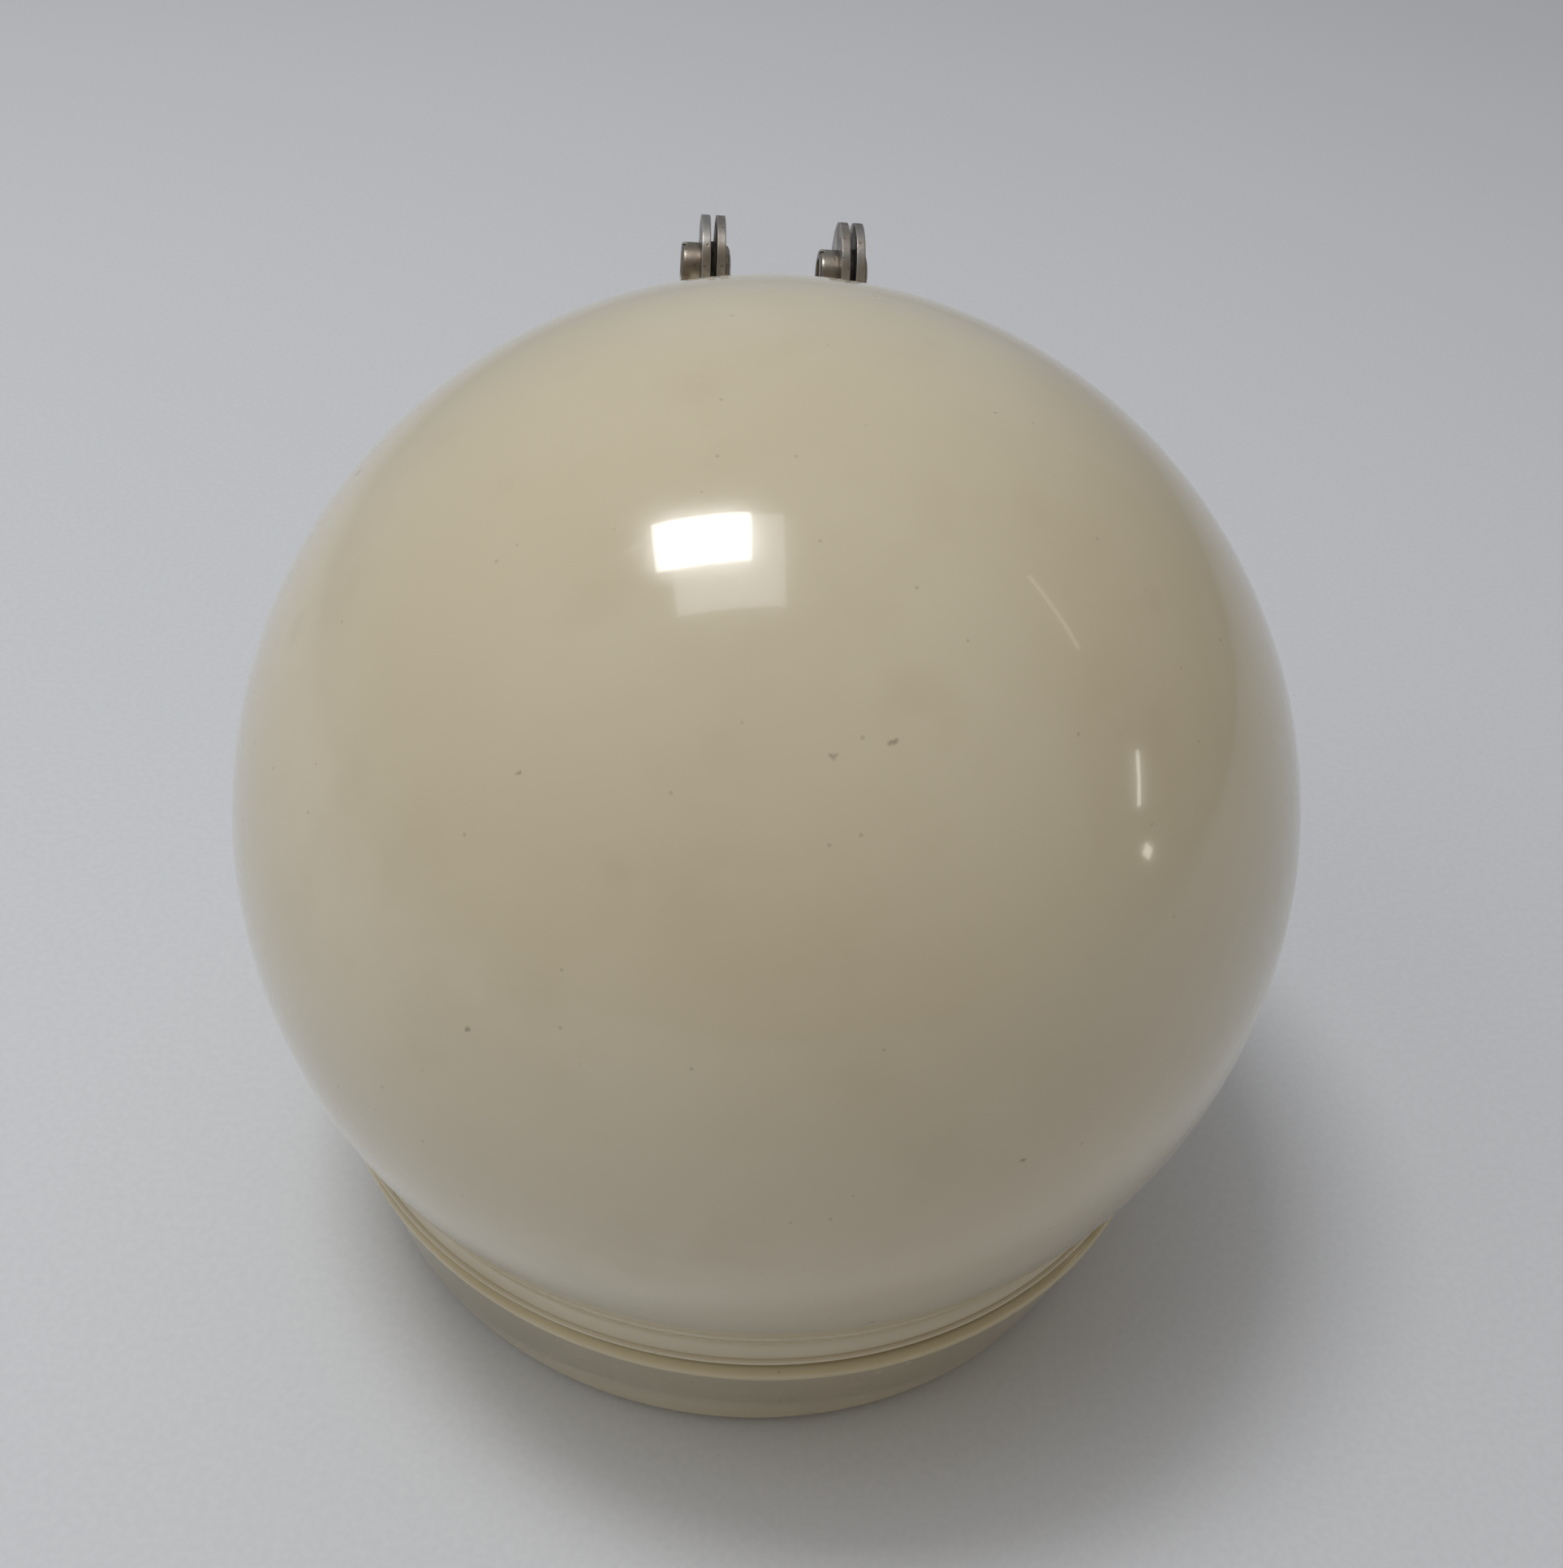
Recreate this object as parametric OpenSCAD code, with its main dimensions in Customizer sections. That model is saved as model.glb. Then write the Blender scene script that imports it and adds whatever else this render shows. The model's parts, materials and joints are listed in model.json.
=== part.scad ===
// Hinged ball case: a cream ball-shaped lid that swings up and forward on two
// twin-plate hinges behind it, over a shallow weighted base bowl.
// Millimetres, +Z up, the front looks along -Y. The origin is on the surface
// that the case stands on, at the centre of the base.

/* [Ball lid] */
// Outer radius of the ball
ball_r = 70; // [69.5:0.1:70.5]
// Wall thickness of the ball
shell_t = 2.5; // [2:0.1:3]
// Height of the ball's centre above the surface
ball_z = 62.2; // [62:0.1:62.6]
// How far below the ball's centre the shell ends
mouth_drop = 39.2; // [39:0.1:39.3]
// Outer radius of the lip around the mouth
lip_r = 61.4; // [61.2:0.1:61.6]
// Thickness of the lip at its edge
lip_t = 1; // [0.8:0.1:1.2]
// Radius of the hollow between the ball and the lip
lip_fillet = 5; // [4:0.5:6]
// Lean of the mouth in degrees, which opens the seam towards +X
mouth_lean = 0.8; // [0:0.1:0.8]
// How far the lid sits off the base's axis, towards -X
lid_shift = 0.8; // [0:0.1:1]

/* [Base bowl] */
// Outer radius of the rim bead
rim_r = 61.6; // [61.4:0.1:61.8]
// Radius of the rim bead's own section
bead_r = 1.3; // [1.3:0.05:1.4]
// Gap between lip and rim, halfway between the left and right sides
seam_gap = 1.3; // [1.3:0.05:1.4]
// Wall and floor thickness of the bowl
bowl_t = 2.2; // [2:0.1:2.2]
// Radius of the rounded corner under the bowl
corner_r = 3; // [2:0.5:4]
// Flare of the bowl's wall from the vertical, in degrees
bowl_flare = 13.9; // [13.7:0.1:14.1]
// Thickness of the foot pad under the bowl
pad_t = 0.8; // [0.6:0.1:1.2]

/* [Hinges] */
// Distance of the pivot from the ball's centre
pivot_reach = 76.8; // [76.6:0.1:77.2]
// How far behind the top of the ball the pivot sits, in degrees
pivot_back = 48; // [46:1:50]
// Distance between the two hinges
hinge_pitch = 19.6; // [19.2:0.2:20]
// Thickness of the hinge plates
plate_t = 1.2; // [1:0.1:1.3]
// Thickness of the friction washer between the plates
washer_t = 0.9; // [0.8:0.1:1]
// Radius of the plates' round ends
plate_end_r = 7.2; // [6.8:0.1:7.2]
// Diameter of the pivot bolts
pivot_d = 5; // [4:0.5:5]

/* [Inside] */
// Thickness of the ballast plate
ballast_t = 6; // [4:1:6]
// Radius of the ballast plate
ballast_r = 45; // [40:1:46]
// Inner radius of the tray
tray_r = 49; // [48:0.5:49]
// Thickness of the tray's wall
tray_t = 1.5; // [1.2:0.1:1.5]
// Thickness of the felt in the tray
felt_t = 1.5; // [1:0.25:2]

/* [Hidden] */
$fn = 72;

cream = [0.86, 0.82, 0.70];
steel = [0.62, 0.60, 0.57];
iron = [0.30, 0.30, 0.31];
black_rubber = [0.12, 0.12, 0.12];
green_felt = [0.10, 0.30, 0.20];

// Seam between the lid and the base
ball_at = [-lid_shift, 0, ball_z];
mouth_z = ball_z - mouth_drop;
rim_z = mouth_z - seam_gap;
bead_z = rim_z - bead_r;

// Bowl: the wall is a cone that leaves the corner's round at a tangent
corner_z = pad_t + corner_r;
bowl_corner_in = 54.2;
wall_across = bowl_t / cos(bowl_flare);
function wall_r(z) = bowl_corner_in + corner_r / cos(bowl_flare) + (z - corner_z) * tan(bowl_flare);
floor_z = pad_t + bowl_t;
floor_round = 2;
backing_gap = 0.05;
function inside_r(z) = wall_r(z) - wall_across + backing_gap;

// Inside of the base, from the floor up
tray_z = floor_z + ballast_t;
tray_floor_z = tray_z + tray_t;
flange_z = 20.5;
flange_t = 1;
flange_r = 58.6;
ballast_screw_r = 1.9;
ballast_screw_head_r = 3.9;
ballast_screw_head_h = 2;
ballast_screw_ring = 30;
ballast_screw_count = 3;
bumper_r = 1.2;
bumper_ring = 57.2;
bumper_angles = [-20, -90, -160];
bumper_gap = 0.15;
pad_out = 50;

// Hinges: each one is a fixed arm, a washer and a moving ear, stacked along +X
pivot_y = pivot_reach * sin(pivot_back);
pivot_z = ball_z + pivot_reach * cos(pivot_back);
end_shift = 0.8;
end_angle = 5;
pivot_r = pivot_d / 2;
run_clear = 0.05;
side_clear = 0.1;
arm_x = -washer_t / 2 - plate_t;
ear_x = washer_t / 2;
hinge_xs = [-hinge_pitch / 2, hinge_pitch / 2];
nut_r = 3.75;
nut_t = 2.7;
head_r = 3.5;
head_t = 1;
tail_inset = 0.8;
washer_r = 4;

// Ear: a plate that stands on a foot curved to the ball
ear_in = 68;
ear_out = 81;
ear_end_angle = 74;
foot_angle = 66;
foot_half = 9.5;
foot_w = 12;
ear_screw_x = 7;
ear_screw_step = 4.4;

// Arm: a curved plate behind the ball, a leg, and a foot on the bowl's wall
arm_in = 72.5;
arm_out = 80.5;
arm_leg_top = 25;
arm_foot_low = 6;
arm_foot_high = 19;
arm_leg_w = 6;
leg_chamfer = 2.5;
arm_screw_x = 7;
arm_screw_zs = [9, 15];

// Small screws and nuts of the feet
screw_r = 1.5;
screw_head_r = 2.75;
screw_head_h = 1.6;
small_flats = 5.5;
small_nut_t = 2.4;
screw_tail = 0.5;
nut_clear = 0.15;
backing_t = 1.2;
slot_w = 0.8;
slot_d = 0.7;

// Points along an arc, from angle a to angle b
function arc(c, r, a, b, n) = [for (i = [0:n]) c + r * [cos(a + (b - a) * i / n), sin(a + (b - a) * i / n)]];

// ---------- shared shapes ----------

// Stands a (y, z) outline up in the plane across X, from x to x + t
module upright(x, t) translate([x, 0, 0]) rotate([90, 0, 90]) linear_extrude(t) children();

// Puts children on the ball at an angle behind its top, shifted by x along the axle
module on_ball(angle, x, r) translate(ball_at) rotate([-angle, 0, 0])
    rotate([0, asin((x + lid_shift) / r), 0]) translate([0, 0, r]) children();

// Puts children on the back of the bowl's wall, with +Z pointing out of it
module on_wall(x, z) rotate([0, 0, -asin(x / wall_r(z))]) translate([0, wall_r(z), z])
    rotate([-90 - bowl_flare, 0, 0]) children();

// Both hinges are alike, so each piece is moved along the pivot axis
module at_pivot(x) translate([x, pivot_y, pivot_z]) rotate([0, 90, 0]) children();

// Part of a ring between two radii, in (y, z) about the ball's centre
module ring_part(r_in, r_out, from, to) translate([0, ball_z]) difference() {
    intersection() {
        circle(r_out, $fn = 180);
        polygon(concat([[0, 0]], arc([0, 0], 2 * r_out, 90 - from, 90 - to, 6)));
    }
    circle(r_in, $fn = 180);
}

// Round end of a hinge plate, set a little outwards so that it clears the ball
module plate_end() translate([pivot_y, pivot_z] + end_shift * [cos(end_angle), sin(end_angle)])
    circle(plate_end_r);

// Hexagon nut with both faces chamfered, standing on z = 0
module hex_nut(flats, t, bore_r) difference() {
    corner = flats / 2 / cos(30);
    cut = (corner - flats / 2) * 0.9;
    intersection() {
        cylinder(r = corner, h = t, $fn = 6);
        rotate_extrude() polygon([[0, 0], [corner - cut, 0], [corner, cut * 0.6],
                                  [corner, t - cut * 0.6], [corner - cut, t], [0, t]]);
    }
    translate([0, 0, -1]) cylinder(r = bore_r, h = t + 2);
}

// Low round head with a driver slot, standing on z = 0
module slotted_head(r, h) difference() {
    rim_h = 0.35 * h;
    rotate_extrude() polygon(concat([[0, 0], [r, 0]],
                                    [for (a = [0:15:75]) [r * cos(a), rim_h + (h - rim_h) * sin(a)]],
                                    [[0, h]]));
    translate([-r - 1, -slot_w / 2, h - slot_d]) cube([2 * r + 2, slot_w, slot_d + 1]);
}

// Screw of a hinge foot: the head stands on z = 0 and the shank goes down
module small_screw(length) {
    slotted_head(screw_head_r, screw_head_h);
    translate([0, 0, -length]) cylinder(r = screw_r, h = length);
}

// ---------- lid ----------

// Skirt that leaves the ball at a tangent, hollows inwards and ends in a thin lip
module lip_ring() {
    low = -mouth_drop;
    edge = lip_t / 2;
    top_r = lip_r - edge;
    top_z = low + lip_t;
    top_far = norm([top_r, top_z]);
    hollow_far = ball_r + lip_fillet;
    apart = acos((pow(hollow_far, 2) + pow(top_far, 2) - pow(lip_fillet, 2)) / (2 * hollow_far * top_far));
    hollow_angle = atan2(top_z, top_r) + apart;
    hollow = hollow_far * [cos(hollow_angle), sin(hollow_angle)];
    hollow_end = 180 + asin((hollow[1] - top_z) / lip_fillet);
    rotate_extrude($fn = 180) polygon(concat(
        [[57, low]],
        arc([top_r, low + edge], edge, -90, 90, 8),
        arc(hollow, lip_fillet, hollow_end, 180 + hollow_angle, 10),
        [(ball_r - shell_t / 2) * [cos(hollow_angle), sin(hollow_angle)]]));
}

module lid_shell() color(cream) difference() {
    translate(ball_at) rotate([0, -mouth_lean, 0]) difference() {
        union() {
            difference() {
                sphere(ball_r, $fn = 180);
                translate([0, 0, -mouth_drop - 1.1 * ball_r]) cube(2.2 * ball_r, center = true);
            }
            lip_ring();
        }
        sphere(ball_r - shell_t, $fn = 180);
    }
    ear_screw_places() translate([0, 0, -10]) cylinder(r = screw_r, h = 20);
}

// Every ear screw, on the outer face of its foot
module ear_screw_places() for (x = hinge_xs, side = [-1, 1])
    on_ball(foot_angle + side * ear_screw_step, x + ear_x + ear_screw_x, ball_r + plate_t) children();

module hinge_ear(x) color(steel) difference() {
    union() {
        upright(x + ear_x, plate_t) {
            plate_end();
            ring_part(ear_in, ear_out, pivot_back, ear_end_angle);
        }
        intersection() {
            translate(ball_at) sphere(ball_r + plate_t, $fn = 180);
            translate([x + ear_x, 0, ball_z]) rotate([-foot_angle, 0, 0])
                translate([0, -foot_half, 0]) cube([foot_w, 2 * foot_half, 2 * ball_r]);
        }
    }
    translate(ball_at) sphere(ball_r, $fn = 180);
    at_pivot(x) cylinder(r = pivot_r + run_clear, h = 20, center = true);
    ear_screw_places() translate([0, 0, -10]) cylinder(r = screw_r, h = 20);
}

module hinge_ear_left() hinge_ear(hinge_xs[0]);
module hinge_ear_right() hinge_ear(hinge_xs[1]);

// One curved strip inside the ball that both ears pull against
module ear_backing_plate() color(steel) difference() {
    plate_r = ball_r - shell_t;
    low_x = hinge_xs[0] + ear_x;
    high_x = hinge_xs[1] + ear_x + foot_w;
    intersection() {
        translate(ball_at) sphere(plate_r, $fn = 180);
        translate([low_x, 0, ball_z]) rotate([-foot_angle, 0, 0])
            translate([0, -foot_half, 0]) cube([high_x - low_x, 2 * foot_half, 2 * ball_r]);
    }
    translate(ball_at) sphere(plate_r - backing_t, $fn = 180);
    ear_screw_places() translate([0, 0, -10]) cylinder(r = screw_r, h = 20);
}

// From a foot's outer face to the nut, which is flat and so stands a little off the curved strip
ear_grip = plate_t + shell_t + backing_t + nut_clear;

module ear_screws() color(steel) ear_screw_places() small_screw(ear_grip + small_nut_t + screw_tail);

module ear_nuts() color(steel) ear_screw_places()
    translate([0, 0, -ear_grip - small_nut_t]) hex_nut(small_flats, small_nut_t, screw_r);

// ---------- hinge arms ----------

// Every arm screw, on the outer face of its foot
module arm_screw_places() for (x = hinge_xs, z = arm_screw_zs)
    on_wall(x + arm_x + plate_t - arm_screw_x, z) translate([0, 0, plate_t]) children();

// Conical skin along the bowl's wall, between two offsets from its outer face
module wall_skin(inner, outer, low, high) rotate_extrude($fn = 180) polygon([
    [wall_r(low) + inner, low], [wall_r(low) + outer, low],
    [wall_r(high) + outer, high], [wall_r(high) + inner, high]]);

module hinge_arm(x) color(steel) difference() {
    leg_y = sqrt(pow(arm_in, 2) - pow(ball_z - arm_leg_top, 2));
    leg_back = sqrt(pow(arm_out, 2) - pow(ball_z - arm_leg_top, 2));
    leg_angle = 180 - asin(leg_y / arm_in);
    union() {
        upright(x + arm_x, plate_t) {
            plate_end();
            ring_part(arm_in, arm_out, pivot_back, leg_angle);
            polygon([[leg_y, arm_leg_top + 0.6], [leg_back, arm_leg_top],
                     [wall_r(arm_foot_low) + arm_leg_w, arm_foot_low + leg_chamfer],
                     [wall_r(arm_foot_low) + arm_leg_w - leg_chamfer, arm_foot_low],
                     [wall_r(arm_foot_low) - 2, arm_foot_low],
                     [wall_r(arm_foot_high) - 2, arm_foot_high]]);
        }
        intersection() {
            wall_skin(-1, plate_t / cos(bowl_flare), arm_foot_low, arm_foot_high);
            translate([x + arm_x + plate_t - foot_w, 0, 0]) cube([foot_w, 2 * rim_r, 2 * rim_z]);
        }
    }
    bowl_block();
    at_pivot(x) cylinder(r = pivot_r + run_clear, h = 20, center = true);
    arm_screw_places() translate([0, 0, -10]) cylinder(r = screw_r, h = 20);
}

module hinge_arm_left() hinge_arm(hinge_xs[0]);
module hinge_arm_right() hinge_arm(hinge_xs[1]);

// One curved strip inside the bowl that both arms pull against
module arm_backing_plate() color(steel) difference() {
    inner = -wall_across;
    low_x = hinge_xs[0] + arm_x + plate_t - foot_w;
    high_x = hinge_xs[1] + arm_x + plate_t;
    intersection() {
        wall_skin(inner - backing_t / cos(bowl_flare), inner, arm_foot_low, arm_foot_high);
        translate([low_x, 0, 0]) cube([high_x - low_x, 2 * rim_r, 2 * rim_z]);
    }
    arm_screw_places() translate([0, 0, -10]) cylinder(r = screw_r, h = 20);
}

arm_grip = plate_t + bowl_t + backing_t + nut_clear;

module arm_screws() color(steel) arm_screw_places() small_screw(arm_grip + small_nut_t + screw_tail);

module arm_nuts() color(steel) arm_screw_places()
    translate([0, 0, -arm_grip - small_nut_t]) hex_nut(small_flats, small_nut_t, screw_r);

// ---------- pivots ----------

// Bolt from the right: its low head is beside the ear and its tail ends inside the nut
module pivot_bolt(x) color(steel) at_pivot(x) {
    head_x = ear_x + plate_t + side_clear;
    tail_x = arm_x - nut_t + tail_inset;
    translate([0, 0, head_x]) slotted_head(head_r, head_t);
    translate([0, 0, tail_x]) cylinder(r = pivot_r, h = head_x - tail_x);
}

module pivot_bolt_left() pivot_bolt(hinge_xs[0]);
module pivot_bolt_right() pivot_bolt(hinge_xs[1]);

// Round nut with eased edges, and a driver slot across its outer face
module pivot_nut(x) color(steel) at_pivot(x) translate([0, 0, arm_x - nut_t]) difference() {
    ease = 0.5;
    rotate_extrude() polygon(concat(
        arc([nut_r - ease, ease], ease, -90, 0, 4),
        [[nut_r, nut_t], [pivot_r, nut_t], [pivot_r, 0]]));
    translate([-nut_r - 1, -slot_w / 2, -1]) cube([2 * nut_r + 2, slot_w, slot_d + 1]);
}

module pivot_nut_left() pivot_nut(hinge_xs[0]);
module pivot_nut_right() pivot_nut(hinge_xs[1]);

module friction_washers() color(iron) for (x = hinge_xs) at_pivot(x) difference() {
    translate([0, 0, -washer_t / 2]) cylinder(r = washer_r, h = washer_t - side_clear);
    cylinder(r = pivot_r + run_clear, h = 20, center = true);
}

// ---------- base ----------

// The bowl as a solid block, with the bead around its rim
module bowl_block() rotate_extrude($fn = 180) {
    polygon(concat(
        [[0, pad_t]],
        arc([bowl_corner_in, corner_z], corner_r, -90, -bowl_flare, 8),
        [[wall_r(bead_z), bead_z], [0, bead_z]]));
    translate([rim_r - bead_r, bead_z]) circle(bead_r, $fn = 32);
}

// Hollow of the bowl: its wall is parallel to the outer one, and rounds into the floor at a tangent
module bowl_inside() rotate_extrude($fn = 180) {
    round_z = floor_z + floor_round;
    polygon(concat(
        [[0, floor_z]],
        arc([inside_r(round_z) - floor_round / cos(bowl_flare), round_z], floor_round, -90, -bowl_flare, 6),
        [[inside_r(bead_z), bead_z], [inside_r(bead_z), rim_z + 1], [0, rim_z + 1]]));
}

module ballast_screw_places() for (i = [0:ballast_screw_count - 1])
    rotate([0, 0, 90 + i * 360 / ballast_screw_count]) translate([ballast_screw_ring, 0, pad_t]) children();

module base_bowl() color(cream) difference() {
    bowl_block();
    bowl_inside();
    arm_screw_places() translate([0, 0, -10]) cylinder(r = screw_r, h = 20);
    ballast_screw_places() ballast_screw();
}

// Countersunk screw, with its head flush under the bowl
module ballast_screw() {
    cylinder(r1 = ballast_screw_head_r, r2 = ballast_screw_r, h = ballast_screw_head_h);
    cylinder(r = ballast_screw_r, h = bowl_t + ballast_t - 1);
}

module ballast_screws() color(steel) ballast_screw_places() difference() {
    ballast_screw();
    translate([-ballast_screw_head_r, -slot_w / 2, -1]) cube([2 * ballast_screw_head_r, slot_w, slot_d + 1]);
}

module ballast_plate() color(iron) difference() {
    translate([0, 0, floor_z]) cylinder(r = ballast_r, h = ballast_t, $fn = 180);
    ballast_screw_places() ballast_screw();
}

// Dish with a level flange that the lid's bumpers stand on
module base_tray() color(cream) rotate_extrude($fn = 180) polygon([
    [0, tray_z], [tray_r + tray_t, tray_z], [tray_r + tray_t, flange_z - flange_t],
    [flange_r, flange_z - flange_t], [flange_r, flange_z], [tray_r + 0.6, flange_z],
    [tray_r, flange_z - 0.6], [tray_r, tray_floor_z], [0, tray_floor_z]]);

module tray_felt() color(green_felt) translate([0, 0, tray_floor_z])
    cylinder(r = tray_r - 0.3, h = felt_t, $fn = 180);

module foot_pad() color(black_rubber) cylinder(r = pad_out, h = pad_t, $fn = 180);

// Each bumper is as tall as the leaning mouth allows at its place
module lid_bumpers() color(black_rubber) for (a = bumper_angles)
    translate([bumper_ring * cos(a), bumper_ring * sin(a), flange_z])
        cylinder(r = bumper_r, h = mouth_z + bumper_ring * cos(a) * tan(mouth_lean) - bumper_gap - flange_z);

lid_shell();
hinge_ear_left();
hinge_ear_right();
ear_backing_plate();
ear_screws();
ear_nuts();
hinge_arm_left();
hinge_arm_right();
arm_backing_plate();
arm_screws();
arm_nuts();
pivot_bolt_left();
pivot_bolt_right();
pivot_nut_left();
pivot_nut_right();
friction_washers();
base_bowl();
base_tray();
tray_felt();
ballast_plate();
ballast_screws();
foot_pad();
lid_bumpers();
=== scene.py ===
"""Looks of the hinged ball case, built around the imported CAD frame. Metres, +Z up."""
import json
import math

import bmesh
import bpy
from mathutils import Matrix, Vector, noise


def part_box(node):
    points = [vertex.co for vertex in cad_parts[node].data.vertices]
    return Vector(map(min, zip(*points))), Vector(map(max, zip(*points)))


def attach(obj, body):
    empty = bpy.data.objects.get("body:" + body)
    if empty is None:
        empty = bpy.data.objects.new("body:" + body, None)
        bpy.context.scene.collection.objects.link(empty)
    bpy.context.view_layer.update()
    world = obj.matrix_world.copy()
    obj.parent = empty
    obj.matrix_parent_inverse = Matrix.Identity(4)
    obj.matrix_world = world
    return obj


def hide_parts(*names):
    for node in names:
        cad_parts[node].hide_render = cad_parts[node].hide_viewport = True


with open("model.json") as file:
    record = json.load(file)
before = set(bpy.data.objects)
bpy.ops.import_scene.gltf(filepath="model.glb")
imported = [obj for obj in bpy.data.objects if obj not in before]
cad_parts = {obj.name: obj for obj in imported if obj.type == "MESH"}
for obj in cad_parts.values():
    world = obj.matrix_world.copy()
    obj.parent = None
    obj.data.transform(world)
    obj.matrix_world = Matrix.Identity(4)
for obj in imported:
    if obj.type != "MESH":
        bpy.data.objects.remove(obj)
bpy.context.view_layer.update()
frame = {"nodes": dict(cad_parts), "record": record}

MM = 0.001
TURN_STEPS = 256
ON_AXIS = 1e-7
SHARP_ANGLE = math.radians(32)

# ---------- sizes, read from the frame where its boxes give them ----------
# The rest repeat the values that the CAD part was built with.

lid_low, lid_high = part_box("lid_shell")
bowl_low, bowl_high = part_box("base_bowl")
felt_low, felt_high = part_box("tray_felt")

BALL_R = (lid_high.x - lid_low.x) / 2
BALL = Vector(((lid_low.x + lid_high.x) / 2, 0, lid_high.z - BALL_R))
SHELL_T = 2.5 * MM
LIP_R = 61.4 * MM
LIP_EDGE = 0.5 * MM
SKIRT_HOLLOW = 5 * MM
MOUTH_LEAN = math.radians(0.8)
MOUTH_DROP = LIP_EDGE + (BALL.z - lid_low.z - LIP_EDGE
                         - (LIP_R - LIP_EDGE) * math.sin(MOUTH_LEAN)) / math.cos(MOUTH_LEAN)

RIM_R = bowl_high.x
RIM_Z = bowl_high.z
BOWL_FOOT_Z = bowl_low.z
BEAD_R = 1.3 * MM
BOWL_T = 2.2 * MM
BOWL_CORNER = 3 * MM
FLOOR_ROUND = 2 * MM
BACKING_GAP = 0.05 * MM
BOWL_CORNER_IN = 54.2 * MM
BOWL_FLARE = math.radians(13.9)


def bowl_wall(z):
    """Radius of the bowl's outer wall at a height."""
    corner_z = BOWL_FOOT_Z + BOWL_CORNER
    return BOWL_CORNER_IN + BOWL_CORNER / math.cos(BOWL_FLARE) + (z - corner_z) * math.tan(BOWL_FLARE)


# ---------- shared mesh code ----------

def arc(centre, radius, start, end, steps):
    """Points (radius, height) along an arc, from one angle to another in degrees."""
    angles = [math.radians(start + (end - start) * i / steps) for i in range(steps + 1)]
    return [(centre[0] + radius * math.cos(a), centre[1] + radius * math.sin(a)) for a in angles]


def turned(name, outline, base=Vector(), steps=TURN_STEPS):
    """A closed turned piece whose outline starts and ends on its axis."""
    mesh = bmesh.new()
    rings = []
    for radius, height in outline:
        count = steps if radius > ON_AXIS else 1
        rings.append([mesh.verts.new(base + Vector((radius * math.cos(2 * math.pi * i / steps),
                                                    radius * math.sin(2 * math.pi * i / steps), height)))
                      for i in range(count)])
    for first, second in zip(rings, rings[1:]):
        for i in range(steps):
            j = (i + 1) % steps
            corners = (first[i % len(first)], second[i % len(second)],
                       second[j % len(second)], first[j % len(first)])
            mesh.faces.new(list(dict.fromkeys(corners)))
    bmesh.ops.recalc_face_normals(mesh, faces=mesh.faces)
    data = bpy.data.meshes.new(name)
    mesh.to_mesh(data)
    mesh.free()
    data.shade_smooth()
    data.set_sharp_from_angle(angle=SHARP_ANGLE)
    piece = bpy.data.objects.new(name, data)
    bpy.context.scene.collection.objects.link(piece)
    return piece


# ---------- the material kit ----------

class Finish:
    """A Principled material, and short calls that add nodes to it."""

    def __init__(self, name, **sockets):
        self.material = bpy.data.materials.new(name)
        self.material.use_nodes = True
        self.tree = self.material.node_tree
        self.shader = self.tree.nodes["Principled BSDF"]
        for socket, value in sockets.items():
            self.shader.inputs[socket.replace("_", " ")].default_value = value
        self.place = self.tree.nodes.new("ShaderNodeTexCoord").outputs["Object"]

    def node(self, kind, inputs=(), **settings):
        made = self.tree.nodes.new("ShaderNode" + kind)
        for key, value in settings.items():
            setattr(made, key, value)
        for socket, value in dict(inputs).items():
            if isinstance(value, bpy.types.NodeSocket):
                self.tree.links.new(value, made.inputs[socket])
            else:
                made.inputs[socket].default_value = value
        return made

    def stretched(self, scale):
        """The place on the object, with each axis scaled, for streaks and grain."""
        return self.node("Mapping", {"Vector": self.place, "Scale": scale}).outputs["Vector"]

    def noise(self, scale, detail=3.0, at=None):
        return self.node("TexNoise", {"Vector": at or self.place, "Scale": scale,
                                      "Detail": detail}).outputs["Fac"]

    def ramp(self, value, low, high, bottom=0.0, top=1.0):
        """Maps value from low..high to bottom..top, smoothly and clamped."""
        return self.node("MapRange", {"Value": value, "From Min": low, "From Max": high,
                                      "To Min": bottom, "To Max": top},
                         interpolation_type="SMOOTHSTEP").outputs["Result"]

    def times(self, a, b):
        return self.node("Math", {0: a, 1: b}, operation="MULTIPLY").outputs["Value"]

    def plus(self, a, b):
        return self.node("Math", {0: a, 1: b}, operation="ADD").outputs["Value"]

    def mix(self, amount, a, b):
        mixed = self.node("Mix", data_type="RGBA")
        for index, value in ((0, amount), (6, a), (7, b)):
            if isinstance(value, bpy.types.NodeSocket):
                self.tree.links.new(value, mixed.inputs[index])
            else:
                mixed.inputs[index].default_value = value if index == 0 else (*value, 1)
        return mixed.outputs[2]

    def spots(self, scale, inner, outer, wobble=0.0):
        """1 inside small irregular spots, 0 elsewhere. Sizes are shares of the spacing."""
        place = self.place
        if wobble:
            shift = self.node("TexNoise", {"Vector": self.place, "Scale": scale * 9}).outputs["Color"]
            shift = self.node("VectorMath", {0: shift, 1: (wobble / scale,) * 3}, operation="MULTIPLY")
            place = self.node("VectorMath", {0: self.place, 1: shift.outputs[0]}, operation="ADD").outputs[0]
        distance = self.node("TexVoronoi", {"Vector": place, "Scale": scale}).outputs["Distance"]
        return self.ramp(distance, inner, outer, 1.0, 0.0)

    def set(self, socket, value):
        self.tree.links.new(value, self.shader.inputs[socket])

    def bump(self, height, depth, strength=1.0, normal=None):
        inputs = {"Height": height, "Distance": depth, "Strength": strength}
        if normal is not None:
            inputs["Normal"] = normal
        return self.node("Bump", inputs).outputs["Normal"]


# ---------- materials ----------

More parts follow.
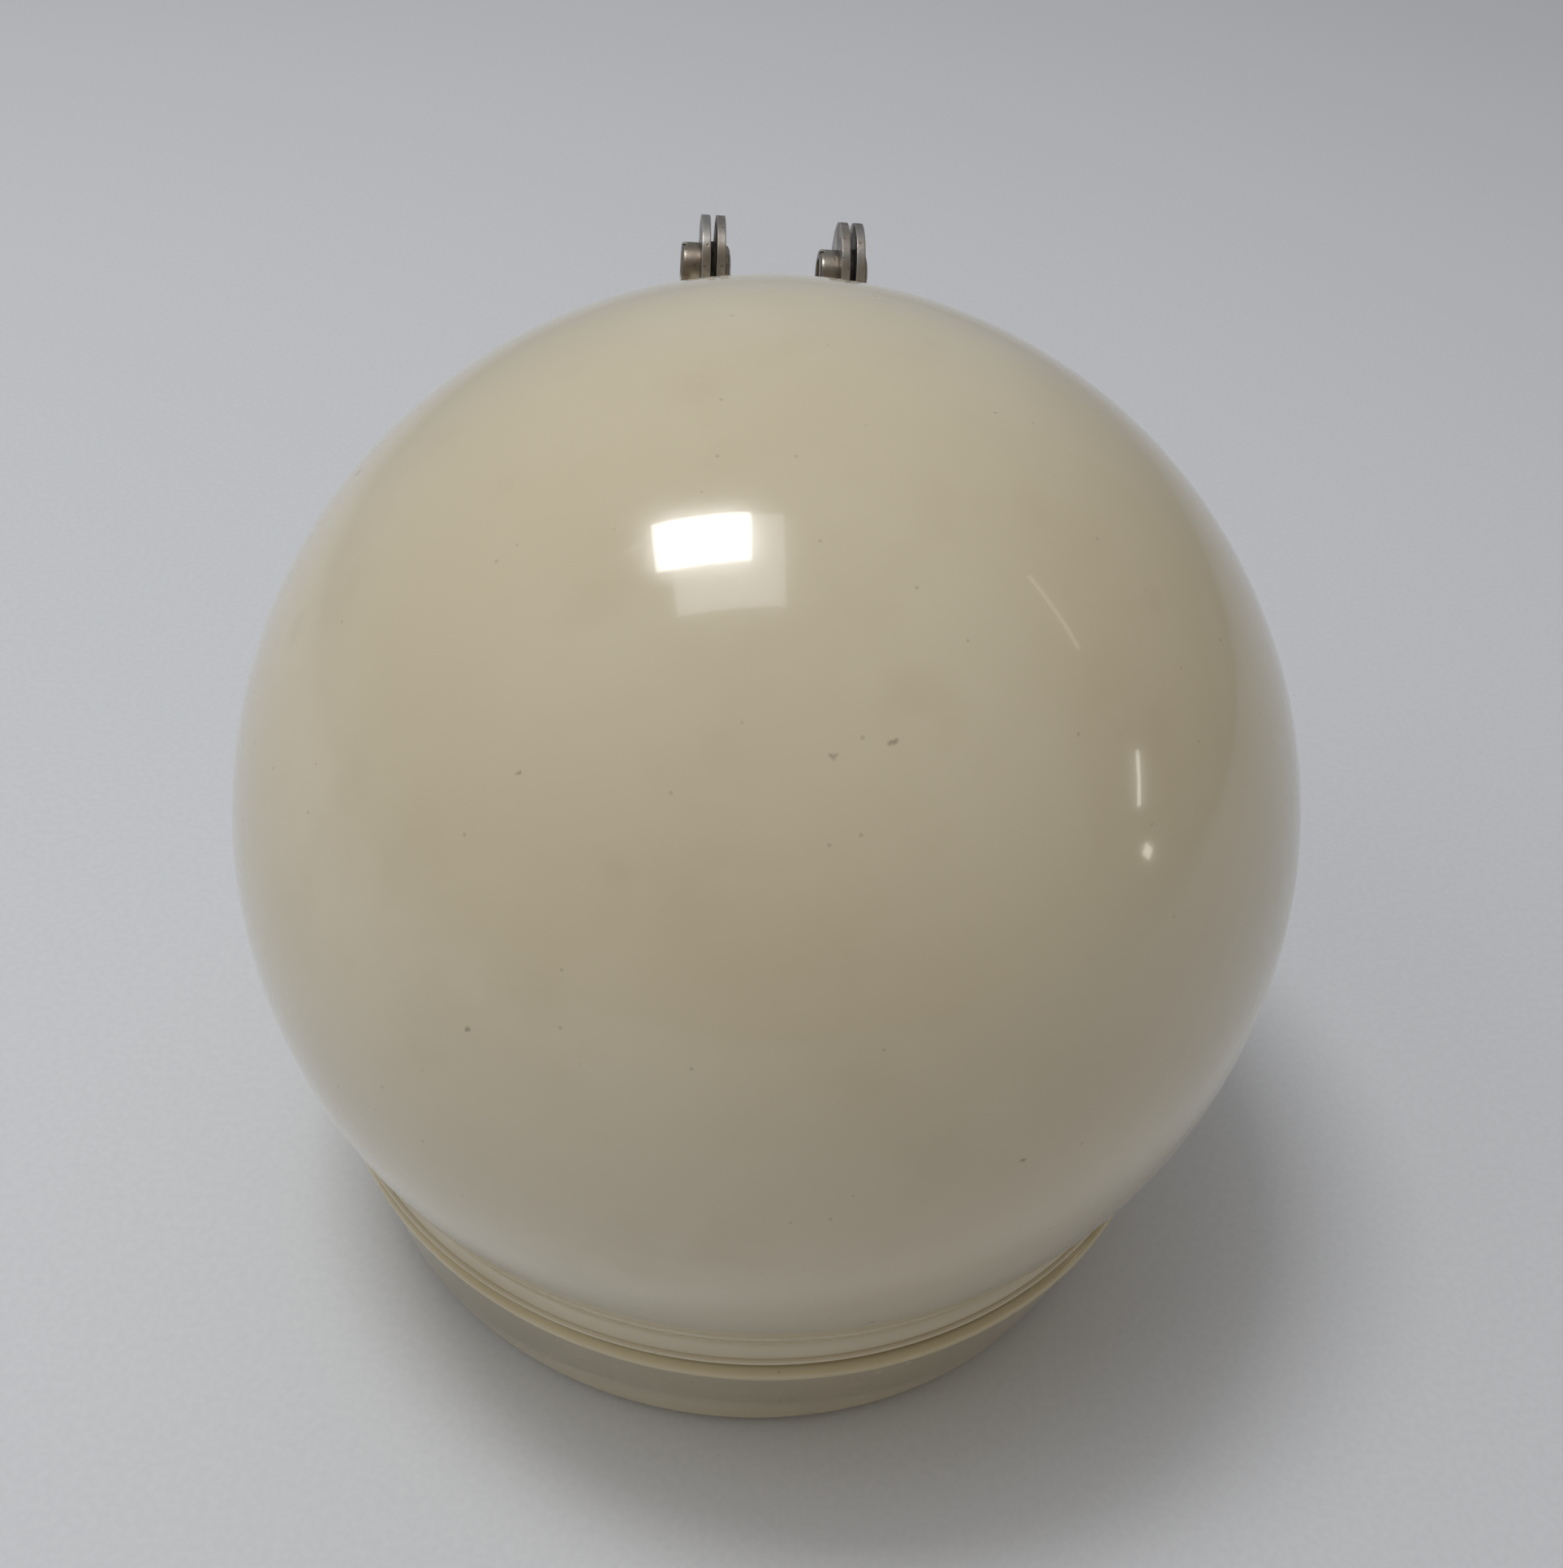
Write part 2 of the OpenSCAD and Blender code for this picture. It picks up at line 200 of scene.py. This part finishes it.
def cream_plastic(name, light, deep, stain):
    """Old glossy cream plastic: uneven yellowing, dark specks, faint smudges and orange peel."""
    m = Finish(name, IOR=1.5, Coat_Weight=0.55, Coat_Roughness=0.045, Coat_IOR=1.5)
    colour = m.mix(m.ramp(m.noise(17, 4), 0.32, 0.70), light, deep)
    cloud = m.times(m.ramp(m.noise(62, 5), 0.50, 0.78), 0.28)
    colour = m.mix(cloud, colour, stain)
    smudge = m.times(m.spots(34, 0.02, 0.13, 0.10), 0.22)
    colour = m.mix(smudge, colour, (0.36, 0.29, 0.21))
    speck = m.times(m.spots(76, 0.012, 0.052, 0.16), 0.55)
    colour = m.mix(speck, colour, (0.16, 0.105, 0.075))
    dust = m.times(m.spots(210, 0.035, 0.060), 0.35)
    colour = m.mix(dust, colour, (0.30, 0.25, 0.18))
    m.set("Base Color", colour)
    handled = m.ramp(m.noise(45, 6), 0.42, 0.70, 0.13, 0.22)
    scuffed = m.times(m.ramp(m.noise(260, 2, m.stretched((1, 3.5, 0.6))), 0.60, 0.80), 0.07)
    m.set("Roughness", m.plus(handled, scuffed))
    peel = m.bump(m.noise(420, 2), 0.00002, 0.5)
    m.set("Normal", m.bump(speck, 0.00012, 0.6, peel))
    return m.material


def satin_plastic():
    """Satin cream moulding of the tray, with a fine spark-eroded grain and rub marks."""
    m = Finish("inner_plastic", IOR=1.48)
    colour = m.mix(m.ramp(m.noise(28, 4), 0.35, 0.7), (0.60, 0.54, 0.40), (0.54, 0.475, 0.335))
    colour = m.mix(m.times(m.spots(150, 0.03, 0.07, 0.05), 0.5), colour, (0.2, 0.15, 0.1))
    m.set("Base Color", colour)
    m.set("Roughness", m.ramp(m.noise(180, 5), 0.35, 0.7, 0.38, 0.56))
    m.set("Normal", m.bump(m.noise(1900, 2), 0.00003, 0.7))
    return m.material


def worn_steel(name, bright, brown, brown_share, roughness, streak):
    """Aged plated steel: brushed streaks, brown tarnish in patches, pits and bright worn edges."""
    m = Finish(name, Metallic=1.0)
    patches = m.times(m.ramp(m.noise(260, 6), 0.42, 0.66), brown_share)
    lines = m.noise(340, 3, m.stretched(streak))
    colour = m.mix(m.ramp(lines, 0.3, 0.7, 0.0, 0.35), bright, tuple(0.62 * c for c in bright))
    colour = m.mix(patches, colour, brown)
    pits = m.spots(900, 0.10, 0.22, 0.05)
    colour = m.mix(m.times(pits, 0.5), colour, (0.09, 0.07, 0.055))
    edge = m.node("Bevel", {"Radius": 0.00028}, samples=6).outputs["Normal"]
    flat = m.node("NewGeometry").outputs["Normal"]
    turn = m.node("VectorMath", {0: edge, 1: flat}, operation="DOT_PRODUCT").outputs["Value"]
    worn = m.times(m.ramp(turn, 0.995, 0.90), 0.55)
    colour = m.mix(worn, colour, (0.74, 0.72, 0.68))
    m.set("Base Color", colour)
    low, high = roughness
    m.set("Roughness", m.plus(m.ramp(m.noise(520, 4), 0.3, 0.7, low, high), m.times(patches, 0.15)))
    fine = m.bump(lines, 0.00002, 0.45, edge)
    m.set("Normal", m.bump(pits, -0.00004, 0.5, fine))
    return m.material


def cast_iron():
    """Rough sand-cast iron of the ballast."""
    m = Finish("ballast_iron", Metallic=0.75)
    grain = m.noise(620, 6)
    m.set("Base Color", m.mix(m.ramp(grain, 0.35, 0.7), (0.055, 0.055, 0.058), (0.13, 0.12, 0.115)))
    m.set("Roughness", m.ramp(grain, 0.3, 0.7, 0.55, 0.8))
    m.set("Normal", m.bump(grain, 0.0002, 0.8))
    return m.material


def black_rubber():
    """Moulded rubber with a fine grain and dusty bloom."""
    m = Finish("pad_rubber", Specular_IOR_Level=0.35)
    bloom = m.ramp(m.noise(120, 5), 0.45, 0.75)
    m.set("Base Color", m.mix(bloom, (0.018, 0.018, 0.018), (0.055, 0.053, 0.050)))
    m.set("Roughness", m.ramp(m.noise(300, 3), 0.3, 0.7, 0.62, 0.85))
    m.set("Normal", m.bump(m.noise(2400, 2), 0.00005, 0.8))
    return m.material


def green_felt():
    """Pressed wool felt: crossed fibres, lighter tufts and a little lint."""
    m = Finish("felt", Roughness=0.95, Specular_IOR_Level=0.15, Sheen_Weight=0.5, Sheen_Roughness=0.45)
    along = m.noise(1500, 4, m.stretched((1, 0.22, 1)))
    across = m.noise(1500, 4, m.stretched((0.22, 1, 1)))
    fibres = m.times(m.plus(along, across), 0.5)
    colour = m.mix(m.ramp(fibres, 0.36, 0.64), (0.012, 0.055, 0.032), (0.040, 0.155, 0.090))
    colour = m.mix(m.times(m.ramp(m.noise(45, 3), 0.4, 0.7), 0.30), colour, (0.055, 0.175, 0.105))
    colour = m.mix(m.times(m.spots(480, 0.05, 0.12, 0.4), 0.30), colour, (0.32, 0.36, 0.30))
    m.set("Base Color", colour)
    m.set("Normal", m.bump(fibres, 0.00035, 0.9))
    return m.material


def pale_board():
    """The pale matt board that the case stands on."""
    m = Finish("pale_board", Specular_IOR_Level=0.25)
    fibre = m.noise(900, 4)
    m.set("Base Color", m.mix(m.ramp(fibre, 0.3, 0.7), (0.66, 0.685, 0.735), (0.69, 0.715, 0.765)))
    m.set("Roughness", m.ramp(fibre, 0.3, 0.7, 0.62, 0.74))
    m.set("Normal", m.bump(fibre, 0.00003, 0.5))
    return m.material


# ---------- pieces that replace CAD nodes ----------

def lid_outline():
    """Outside of the ball, its hollowed skirt and thin lip, and the inside, about the ball's centre."""
    low = -MOUTH_DROP
    top = (LIP_R - LIP_EDGE, low + 2 * LIP_EDGE)
    top_far = math.hypot(*top)
    hollow_far = BALL_R + SKIRT_HOLLOW
    apart = math.acos((hollow_far ** 2 + top_far ** 2 - SKIRT_HOLLOW ** 2) / (2 * hollow_far * top_far))
    meets = math.atan2(top[1], top[0]) + apart
    hollow = (hollow_far * math.cos(meets), hollow_far * math.sin(meets))
    hollow_end = 180 + math.degrees(math.asin((hollow[1] - top[1]) / SKIRT_HOLLOW))
    meets = math.degrees(meets)
    inner_r = BALL_R - SHELL_T
    mouth = math.degrees(math.asin(low / inner_r))
    outside = [(0, BALL_R)] + arc((0, 0), BALL_R, 90, meets, 110)[1:]
    skirt = arc(hollow, SKIRT_HOLLOW, 180 + meets, hollow_end, 24)[1:-1]
    lip = arc((top[0], low + LIP_EDGE), LIP_EDGE, 90, -90, 14)
    inside = arc((0, 0), inner_r, mouth, 90, 90)[:-1] + [(0, inner_r)]
    return outside + skirt + lip + inside


def make_lid(material):
    lid = turned("ball_lid", lid_outline())
    lid.data.transform(Matrix.Translation(BALL) @ Matrix.Rotation(-MOUTH_LEAN, 4, "Y"))
    lid.data.materials.append(material)
    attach(lid, "lid")
    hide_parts("lid_shell")


def bowl_outline():
    """Underside, rounded corner, flared wall, rim bead and inside of the bowl."""
    flare = math.degrees(BOWL_FLARE)
    bead_z = RIM_Z - BEAD_R
    bead = (RIM_R - BEAD_R, bead_z)
    inside = BACKING_GAP - BOWL_T / math.cos(BOWL_FLARE)
    inner_wall = bowl_wall(bead_z) + inside
    floor_z = BOWL_FOOT_Z + BOWL_T
    round_z = floor_z + FLOOR_ROUND
    round_r = bowl_wall(round_z) + inside - FLOOR_ROUND / math.cos(BOWL_FLARE)
    reach = (bowl_wall(bead_z) - bead[0]) * math.cos(BOWL_FLARE)
    bead_start = -flare - math.degrees(math.acos(reach / BEAD_R))
    bead_end = math.degrees(math.acos((inner_wall - bead[0]) / BEAD_R))
    return ([(0, BOWL_FOOT_Z)]
            + arc((BOWL_CORNER_IN, BOWL_FOOT_Z + BOWL_CORNER), BOWL_CORNER, -90, -flare, 16)
            + arc(bead, BEAD_R, bead_start, bead_end, 28)
            + [(inner_wall, bead_z)]
            + arc((round_r, round_z), FLOOR_ROUND, -flare, -90, 10)
            + [(0, floor_z)])


def make_bowl(material):
    bowl = turned("bowl", bowl_outline())
    bowl.data.materials.append(material)
    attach(bowl, "base")
    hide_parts("base_bowl")


def make_felt(material):
    """Felt disc cut to the tray, slightly uneven, with its upper edge worn round."""
    radius = felt_high.x
    thick = felt_high.z - felt_low.z
    edge = thick * 0.35
    wave = 0.08 * MM
    top = thick - 0.01 * MM
    flat_share = 0.94
    rings = 40
    outline = ([(0, top)] + [(radius * flat_share * i / rings, top) for i in range(1, rings + 1)]
               + arc((radius - edge, top - edge), edge, 90, 0, 8) + [(radius, 0), (0, 0)])
    felt = turned("felt_disc", outline, Vector((0, 0, felt_low.z)), steps=160)
    for v in felt.data.vertices:
        if v.co.z > felt_high.z - edge:
            v.co.z -= wave * (0.5 + 0.5 * noise.noise(v.co * 160))
    felt.data.materials.append(material)
    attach(felt, "base")
    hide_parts("tray_felt")


def dress_cad_nodes(materials):
    """Every CAD node that stays gets the material of its slot in the record."""
    for row in frame["record"]["subparts"]:
        node = frame["nodes"][row["node"]]
        node.data.materials.clear()
        node.data.materials.append(materials[row["material_slot"]])


# ---------- stage, lights and camera ----------

def make_floor():
    half_size = 1.6
    cells = 8
    mesh = bmesh.new()
    bmesh.ops.create_grid(mesh, x_segments=cells, y_segments=cells, size=half_size)
    data = bpy.data.meshes.new("floor")
    mesh.to_mesh(data)
    mesh.free()
    floor = bpy.data.objects.new("floor", data)
    bpy.context.scene.collection.objects.link(floor)
    data.materials.append(pale_board())


def from_ball(azimuth, elevation, distance):
    """The point at a direction and distance from the ball, azimuth from +Y towards +X."""
    a, e = math.radians(azimuth), math.radians(elevation)
    return BALL + distance * Vector((math.sin(a) * math.cos(e), math.cos(a) * math.cos(e), math.sin(e)))


def panel(name, start, end, distance, width, strength, colour=(1, 1, 1), mirrored=True):
    """A soft rectangular light facing the ball, which runs from one direction to another.

    Directions are (azimuth, elevation) from the ball, and strength is the light's brightness.
    Gloss doesn't show a panel that isn't mirrored.
    """
    first, last = from_ball(*start, distance), from_ball(*end, distance)
    centre = (first + last) / 2
    away = (centre - BALL).normalized()
    along = (last - first).normalized()
    across = away.cross(along)
    data = bpy.data.lights.new(name, "AREA")
    data.shape = "RECTANGLE"
    data.size, data.size_y = (last - first).length, width
    data.energy = strength * data.size * data.size_y * math.pi
    data.color = colour
    light = bpy.data.objects.new(name, data)
    light.matrix_world = Matrix.Translation(centre) @ Matrix((along, across, away)).transposed().to_4x4()
    light.visible_glossy = mirrored
    bpy.context.scene.collection.objects.link(light)


def make_lights():
    """A window above the left side, soft light from the left, and three small lights on the right."""
    panel("window", (-79, 66), (-61, 82), 1.10, 0.20, 17, (1.0, 0.99, 0.96))
    panel("window_side", (-92, 69), (-130, 88), 1.15, 0.39, 2.6, (0.96, 0.98, 1.0))
    panel("soft_left", (-120, 34), (-75, 34), 1.30, 0.80, 0.85, (1.0, 0.97, 0.92), mirrored=False)
    panel("strip_high", (80.5, 48.5), (92, 37.5), 0.90, 0.014, 2.4, (1.0, 0.92, 0.70))
    panel("strip_low", (98.5, 20), (104.5, 14), 0.90, 0.014, 8, (1.0, 0.97, 0.90))
    panel("lamp_far", (107, 8), (106, 6), 0.90, 0.030, 7, (1.0, 0.95, 0.80))


def make_world():
    """Soft grey room that is darker and browner to the right and in front."""
    world = bpy.data.worlds.new("room")
    world.use_nodes = True
    tree = world.node_tree
    background = tree.nodes["Background"]
    direction = tree.nodes.new("ShaderNodeTexCoord").outputs["Generated"]
    split = tree.nodes.new("ShaderNodeSeparateXYZ")
    tree.links.new(direction, split.inputs[0])

    def ramp(value, low, high):
        made = tree.nodes.new("ShaderNodeMapRange")
        made.interpolation_type = "SMOOTHSTEP"
        tree.links.new(value, made.inputs["Value"])
        made.inputs["From Min"].default_value = low
        made.inputs["From Max"].default_value = high
        return made.outputs["Result"]

    def mix(amount, a, b):
        made = tree.nodes.new("ShaderNodeMix")
        made.data_type = "RGBA"
        tree.links.new(amount, made.inputs[0])
        for index, value in ((6, a), (7, b)):
            if isinstance(value, bpy.types.NodeSocket):
                tree.links.new(value, made.inputs[index])
            else:
                made.inputs[index].default_value = (*value, 1)
        return made.outputs[2]

    up = mix(ramp(split.outputs["Z"], -0.1, 0.9), (0.36, 0.38, 0.41), (0.52, 0.53, 0.54))
    room = mix(ramp(split.outputs["X"], 0.35, 0.95), up, (0.16, 0.13, 0.10))
    room = mix(ramp(split.outputs["Y"], 0.0, -0.75), room, (0.36, 0.31, 0.25))
    tree.links.new(room, background.inputs["Color"])
    background.inputs["Strength"].default_value = 0.80
    bpy.context.scene.world = world


def make_camera():
    """The photo's view: high in front, a little to the left, and rolled a little."""
    distance = 3.30 * BALL_R
    azimuth, elevation = math.radians(-7.0), math.radians(41.0)
    roll, pan, tilt = math.radians(5.9), math.radians(0.47), math.radians(0.75)
    back = Vector((math.sin(azimuth) * math.cos(elevation),
                   -math.cos(azimuth) * math.cos(elevation), math.sin(elevation)))
    right = (-back).cross(Vector((0, 0, 1))).normalized()
    up = right.cross(-back)
    look = Matrix((right, up, back)).transposed().to_4x4()
    look = (look @ Matrix.Rotation(roll, 4, "Z") @ Matrix.Rotation(-pan, 4, "Y")
            @ Matrix.Rotation(tilt, 4, "X"))
    data = bpy.data.cameras.new("camera")
    data.sensor_width = 36
    data.lens = 38.59
    data.clip_start, data.clip_end = 0.01, 20
    camera = bpy.data.objects.new("camera", data)
    camera.matrix_world = Matrix.Translation(BALL + distance * back) @ look
    bpy.context.scene.collection.objects.link(camera)
    bpy.context.scene.camera = camera


# ---------- build ----------

lid_cream = cream_plastic("cream_plastic_lid", (0.66, 0.60, 0.455), (0.61, 0.54, 0.39), (0.52, 0.44, 0.30))
# The bowl's copy of the cream plastic is darker and yellower than the lid's: painted shade for the base,
# which sits in shade under the lid.
bowl_cream_painted_shade = cream_plastic("cream_plastic_bowl", (0.63, 0.555, 0.37), (0.58, 0.50, 0.31), (0.47, 0.39, 0.235))
materials = {
    "cream_plastic": bowl_cream_painted_shade,
    "inner_plastic": satin_plastic(),
    "felt": green_felt(),
    "ballast_iron": cast_iron(),
    "pad_rubber": black_rubber(),
    # The washers' near-black colour is painted shade: it darkens the gap between the hinge plates.
    "washer_steel": worn_steel("washer_steel", (0.07, 0.065, 0.06), (0.05, 0.035, 0.025), 0.6,
                               (0.45, 0.62), (1, 1, 1)),
    "plate_steel": worn_steel("plate_steel", (0.36, 0.345, 0.325), (0.17, 0.13, 0.09), 0.70,
                              (0.28, 0.44), (1, 0.12, 1)),
    "bolt_steel": worn_steel("bolt_steel", (0.30, 0.27, 0.23), (0.13, 0.085, 0.055), 0.80,
                             (0.24, 0.42), (0.2, 1, 1)),
}
dress_cad_nodes(materials)
make_lid(lid_cream)
make_bowl(bowl_cream_painted_shade)
make_felt(materials["felt"])
make_floor()
make_lights()
make_world()
make_camera()
bpy.context.scene.view_settings.view_transform = "Standard"
